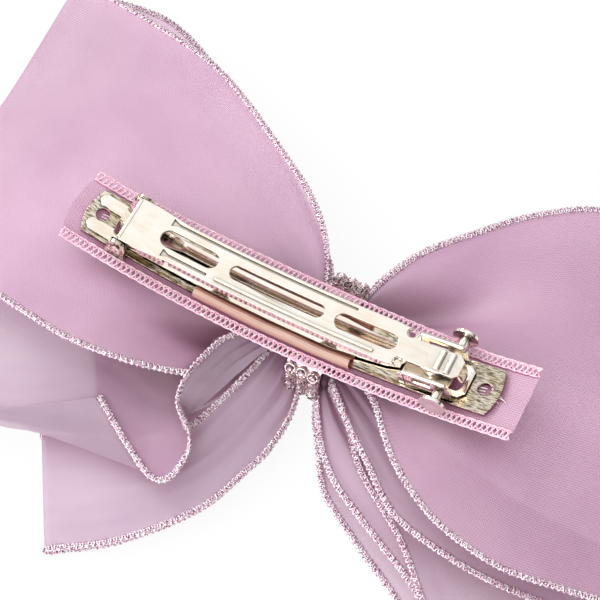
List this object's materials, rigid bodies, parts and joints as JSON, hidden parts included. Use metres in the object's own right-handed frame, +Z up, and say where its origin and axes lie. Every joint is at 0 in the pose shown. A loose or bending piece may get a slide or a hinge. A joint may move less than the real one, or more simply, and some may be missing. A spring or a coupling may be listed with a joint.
{
  "type": "french barrette hair bow",
  "caption": "Organza hair bow on a French barrette: curved base, sprung leaf, hinged clamp arm, squeeze catch and a rhinestone centre.",
  "frame": {"origin": "on the surface the bow lies on, under the middle of the bow", "axes": "+X along the barrette from hinge to catch, +Z up out of the bow's back, through the barrette"},
  "size_m": [0.164, 0.1113, 0.0272],
  "materials": {
    "gold_plated_steel": "bright pale-gold plating on stamped steel",
    "bow_organza": "satin organza, mauve pink",
    "backing_organza": "plain sheer organza",
    "sheer_wrap": "sheer ribbon over gold, salmon",
    "overlock_thread": "looped nylon overlock thread",
    "band_metal": "bright mesh and claw cups",
    "rhinestone": "cut glass, foiled"
  },
  "bodies": {
    "bow_and_base": {"base_plate": "gold_plated_steel", "spring_leaf": "gold_plated_steel", "catch_bracket": "gold_plated_steel", "catch_rivet": "gold_plated_steel", "centre_wrap": "sheer_wrap", "backing_ribbon": "backing_organza", "backing_edge_near": "overlock_thread", "backing_edge_far": "overlock_thread", "main_loop_left": "bow_organza", "main_loop_right": "bow_organza", "middle_panel_left": "bow_organza", "middle_panel_right": "bow_organza", "lower_loop_left": "bow_organza", "lower_loop_right": "bow_organza", "gathered_centre": "bow_organza", "rhinestone_band": "band_metal", "stone_cups": "band_metal", "small_stones": "rhinestone", "centre_stone": "rhinestone", "stitches_catch_end": "overlock_thread", "stitches_hinge_end": "overlock_thread"},
    "clamp_arm": {"clamp_arm": "gold_plated_steel"},
    "catch_wing_near": {"catch_wing_near": "gold_plated_steel", "finger_button_near": "gold_plated_steel"},
    "catch_wing_far": {"catch_wing_far": "gold_plated_steel", "finger_button_far": "gold_plated_steel"}
  },
  "joints": [
    {"name": "arm_hinge", "type": "hinge", "parent": "bow_and_base", "child": "clamp_arm", "pos_m": [-0.03774, 0, 0.02489], "axis": [0, -1, 0], "range_deg": [0, 75]},
    {"name": "catch_squeeze_near", "type": "hinge", "parent": "bow_and_base", "child": "catch_wing_near", "pos_m": [0.01755, -0.00382, 0.02262], "axis": [-0.2184, 0, 0.9759], "range_deg": [0, 5], "stiffness_Nm_per_rad": 0.02},
    {"name": "catch_squeeze_far", "type": "hinge", "parent": "bow_and_base", "child": "catch_wing_far", "pos_m": [0.01755, 0.00382, 0.02262], "axis": [0.2184, 0, -0.9759], "range_deg": [0, 5], "stiffness_Nm_per_rad": 0.02}
  ]
}
